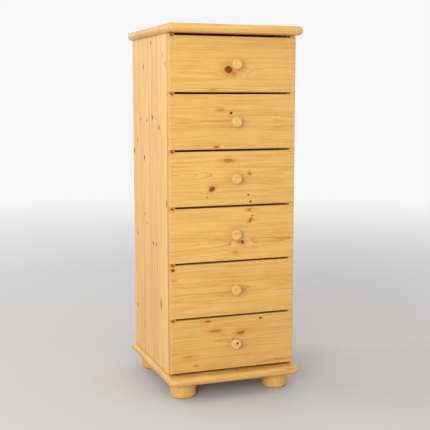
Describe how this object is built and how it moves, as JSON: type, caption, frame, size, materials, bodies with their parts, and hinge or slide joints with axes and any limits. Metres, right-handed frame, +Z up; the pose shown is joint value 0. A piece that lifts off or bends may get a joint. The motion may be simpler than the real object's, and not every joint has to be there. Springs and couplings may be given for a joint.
{
  "type": "tall chest of drawers",
  "caption": "Tall narrow pine chest of drawers with rounded top and base plates, turned knobs and bun feet; each drawer slides on wooden runners.",
  "frame": {"origin": "centre of the footprint of the top and base plates, on the floor under the feet", "axes": "+Z up; +X to the right as the drawer fronts are faced; the fronts look along -Y and the drawers open that way"},
  "size_m": [0.464, 0.482, 1.208],
  "materials": {
    "plate_pine": "clear satin lacquer",
    "side_pine": "clear satin lacquer",
    "front_pine": "clear satin lacquer",
    "turned_pine": "clear satin lacquer",
    "box_pine": "planed, unfinished",
    "runner_beech": "planed, unfinished",
    "beech": "fluted dowel rod, unfinished",
    "hardboard": "bare hardboard",
    "zinc_steel": "zinc plated",
    "cast_zinc": "die cast"
  },
  "bodies": {
    "carcass": {"top_plate": "plate_pine", "base_plate": "plate_pine", "side_panel_left": "side_pine", "side_panel_right": "side_pine", "back_panel": "hardboard", "back_nails": "zinc_steel", "dowels": "beech", "cam_bolts": "zinc_steel", "cam_nuts": "cast_zinc", "foot_bolts": "zinc_steel", "runners_left": "runner_beech", "runners_right": "runner_beech", "runner_screws": "zinc_steel", "foot_front_left": "turned_pine", "foot_front_right": "turned_pine", "foot_rear_left": "turned_pine", "foot_rear_right": "turned_pine"},
    "drawer_1": {"drawer_1_front": "front_pine", "drawer_1_side_left": "box_pine", "drawer_1_side_right": "box_pine", "drawer_1_back": "box_pine", "drawer_1_bottom": "hardboard", "drawer_1_knob": "turned_pine", "drawer_1_knob_screw": "zinc_steel"},
    "drawer_2": {"drawer_2_front": "front_pine", "drawer_2_side_left": "box_pine", "drawer_2_side_right": "box_pine", "drawer_2_back": "box_pine", "drawer_2_bottom": "hardboard", "drawer_2_knob": "turned_pine", "drawer_2_knob_screw": "zinc_steel"},
    "drawer_3": {"drawer_3_front": "front_pine", "drawer_3_side_left": "box_pine", "drawer_3_side_right": "box_pine", "drawer_3_back": "box_pine", "drawer_3_bottom": "hardboard", "drawer_3_knob": "turned_pine", "drawer_3_knob_screw": "zinc_steel"},
    "drawer_4": {"drawer_4_front": "front_pine", "drawer_4_side_left": "box_pine", "drawer_4_side_right": "box_pine", "drawer_4_back": "box_pine", "drawer_4_bottom": "hardboard", "drawer_4_knob": "turned_pine", "drawer_4_knob_screw": "zinc_steel"},
    "drawer_5": {"drawer_5_front": "front_pine", "drawer_5_side_left": "box_pine", "drawer_5_side_right": "box_pine", "drawer_5_back": "box_pine", "drawer_5_bottom": "hardboard", "drawer_5_knob": "turned_pine", "drawer_5_knob_screw": "zinc_steel"},
    "drawer_6": {"drawer_6_front": "front_pine", "drawer_6_side_left": "box_pine", "drawer_6_side_right": "box_pine", "drawer_6_back": "box_pine", "drawer_6_bottom": "hardboard", "drawer_6_knob": "turned_pine", "drawer_6_knob_screw": "zinc_steel"}
  },
  "joints": [
    {"name": "drawer_1_slide", "type": "slide", "parent": "carcass", "child": "drawer_1", "axis": [0, -1, 0], "range_m": [0, 0.3]},
    {"name": "drawer_2_slide", "type": "slide", "parent": "carcass", "child": "drawer_2", "axis": [0, -1, 0], "range_m": [0, 0.3]},
    {"name": "drawer_3_slide", "type": "slide", "parent": "carcass", "child": "drawer_3", "axis": [0, -1, 0], "range_m": [0, 0.3]},
    {"name": "drawer_4_slide", "type": "slide", "parent": "carcass", "child": "drawer_4", "axis": [0, -1, 0], "range_m": [0, 0.3]},
    {"name": "drawer_5_slide", "type": "slide", "parent": "carcass", "child": "drawer_5", "axis": [0, -1, 0], "range_m": [0, 0.3]},
    {"name": "drawer_6_slide", "type": "slide", "parent": "carcass", "child": "drawer_6", "axis": [0, -1, 0], "range_m": [0, 0.3]}
  ]
}
